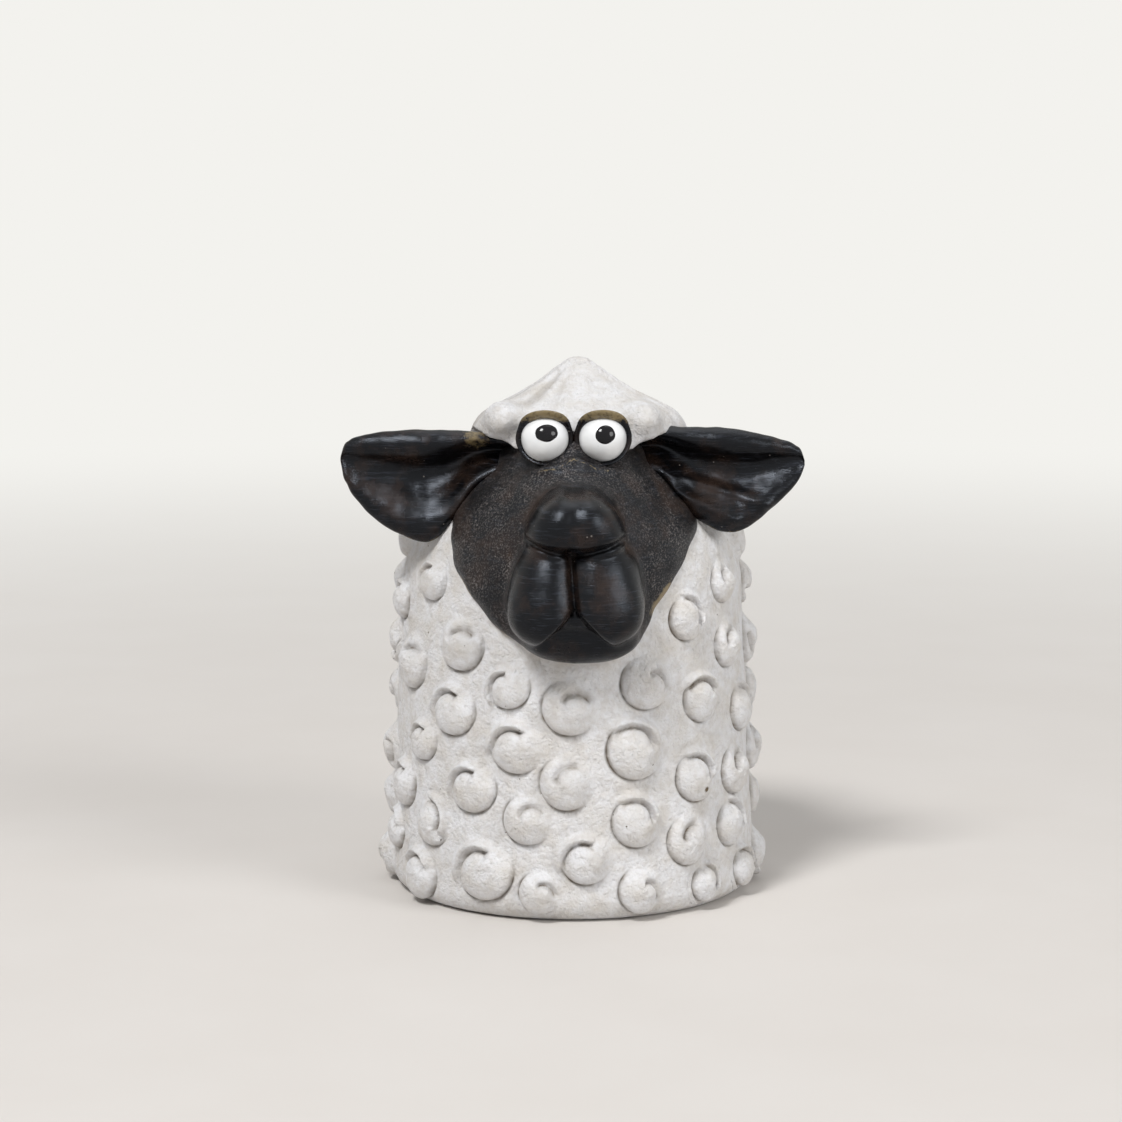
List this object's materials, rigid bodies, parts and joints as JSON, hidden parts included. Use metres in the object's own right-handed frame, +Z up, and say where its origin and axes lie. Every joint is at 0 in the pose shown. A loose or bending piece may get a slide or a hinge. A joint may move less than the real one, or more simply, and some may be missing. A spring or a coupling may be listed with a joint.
{
  "type": "sheep figurine",
  "caption": "Bell-shaped clay sheep ornament with spiral curls for fleece, a black head, cupped ears, bulging eyes and a peaked topknot; stands on its flat base.",
  "frame": {"origin": "middle of the flat underside, on the axis of the bell-shaped body", "axes": "+Z up along the body's axis, the face looks along -Y, +X is to the right as seen from the front"},
  "size_m": [0.0822, 0.0818, 0.0995],
  "materials": {
    "fleece_clay": "matt off-white painted clay with grey wash in the hollows",
    "black_clay": "satin black paint, rubbed through to brown on raised edges",
    "eye_white": "glossy white paint",
    "pupil_black": "glossy black paint drop"
  },
  "bodies": {
    "root": {"body_shell": "fleece_clay", "base_slab": "fleece_clay", "topknot": "fleece_clay", "curls_row_1": "fleece_clay", "curls_row_2": "fleece_clay", "curls_row_3": "fleece_clay", "curls_row_4": "fleece_clay", "curls_row_5": "fleece_clay", "curls_row_6": "fleece_clay", "curls_row_7": "fleece_clay", "curls_row_8": "fleece_clay", "head": "black_clay", "nose": "black_clay", "lip_left": "black_clay", "lip_right": "black_clay", "chin": "black_clay", "ear_left": "black_clay", "ear_right": "black_clay", "eyelid_left": "black_clay", "eyelid_right": "black_clay", "eyeball_left": "eye_white", "eyeball_right": "eye_white", "pupil_left": "pupil_black", "pupil_right": "pupil_black"}
  },
  "joints": []
}
